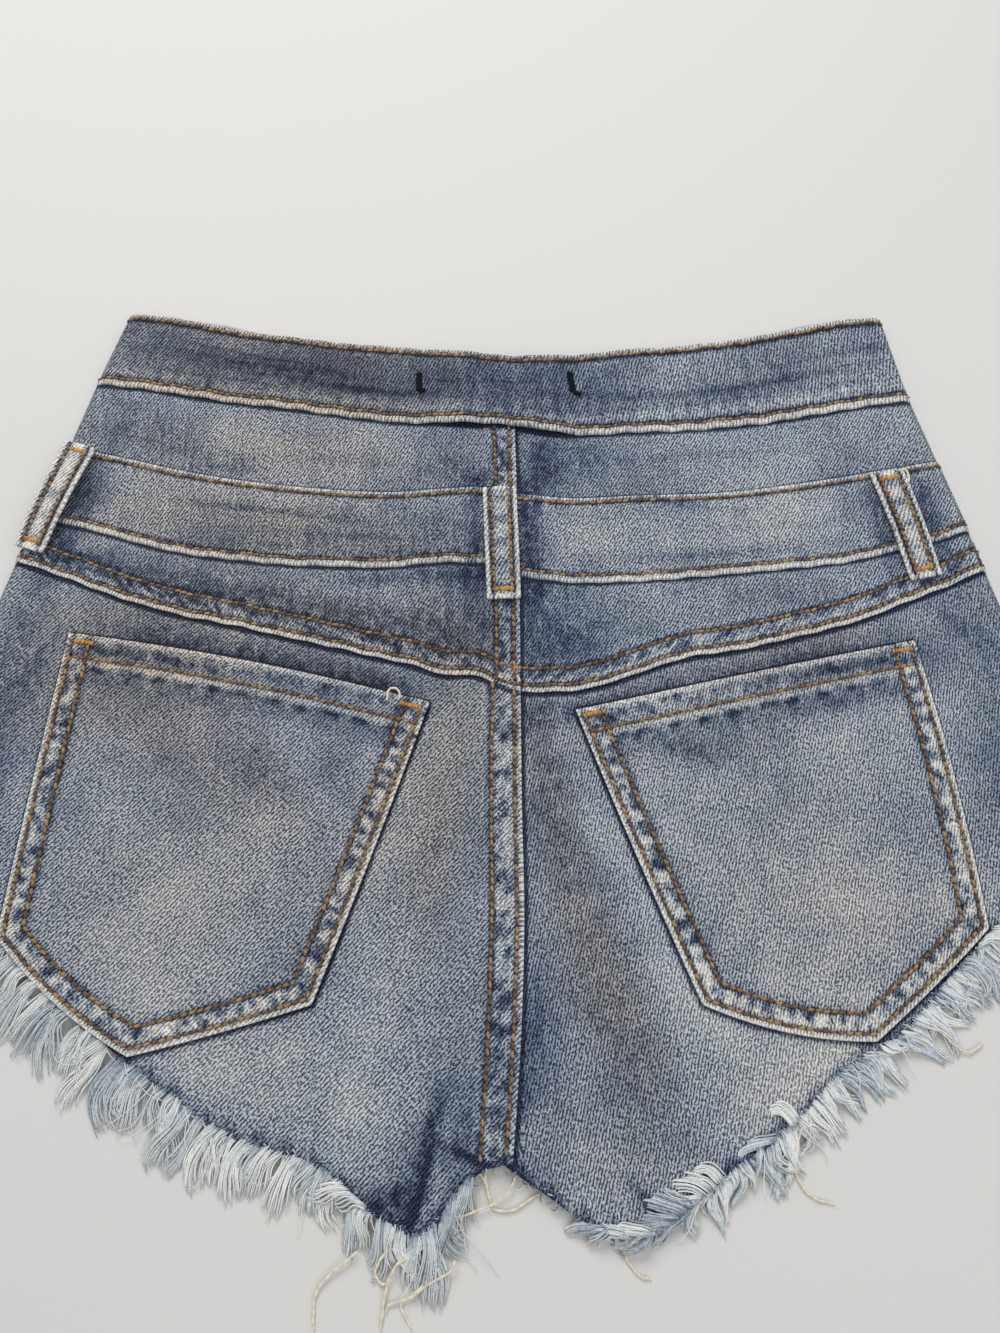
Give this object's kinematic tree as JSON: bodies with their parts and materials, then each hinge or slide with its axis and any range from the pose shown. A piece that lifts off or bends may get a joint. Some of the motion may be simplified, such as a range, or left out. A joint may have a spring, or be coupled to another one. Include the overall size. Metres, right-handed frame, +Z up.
{
  "type": "denim shorts",
  "caption": "High-waisted denim shorts with a yoked back, an extra waist band, patch pockets, belt loops and frayed leg openings, laid flat with the back up.",
  "frame": {"origin": "on the underside of the left front panel, beside the fly, where the shorts rest on the surface", "axes": "+X to the right as seen from above, +Y towards the waist, +Z up, away from the surface that the shorts lie on"},
  "size_m": [0.4241, 0.3941, 0.0092],
  "materials": {
    "denim": "washed mid-blue stretch denim twill with golden-brown topstitching",
    "fringe": "frayed pale blue-white cotton yarn",
    "button": "aged, matt"
  },
  "bodies": {
    "root": {"waistband": "denim", "upper_yoke_left": "denim", "upper_yoke_right": "denim", "mid_band_left": "denim", "mid_band_right": "denim", "lower_yoke_left": "denim", "lower_yoke_right": "denim", "back_panel_left": "denim", "back_panel_right": "denim", "pocket_left": "denim", "pocket_right": "denim", "belt_loop_left": "denim", "belt_loop_centre": "denim", "belt_loop_right": "denim", "front_panel_left": "denim", "front_panel_right": "denim", "waist_button": "button", "fringe_back_left": "fringe", "fringe_back_right": "fringe", "fringe_front_left": "fringe", "fringe_front_right": "fringe"}
  },
  "joints": []
}
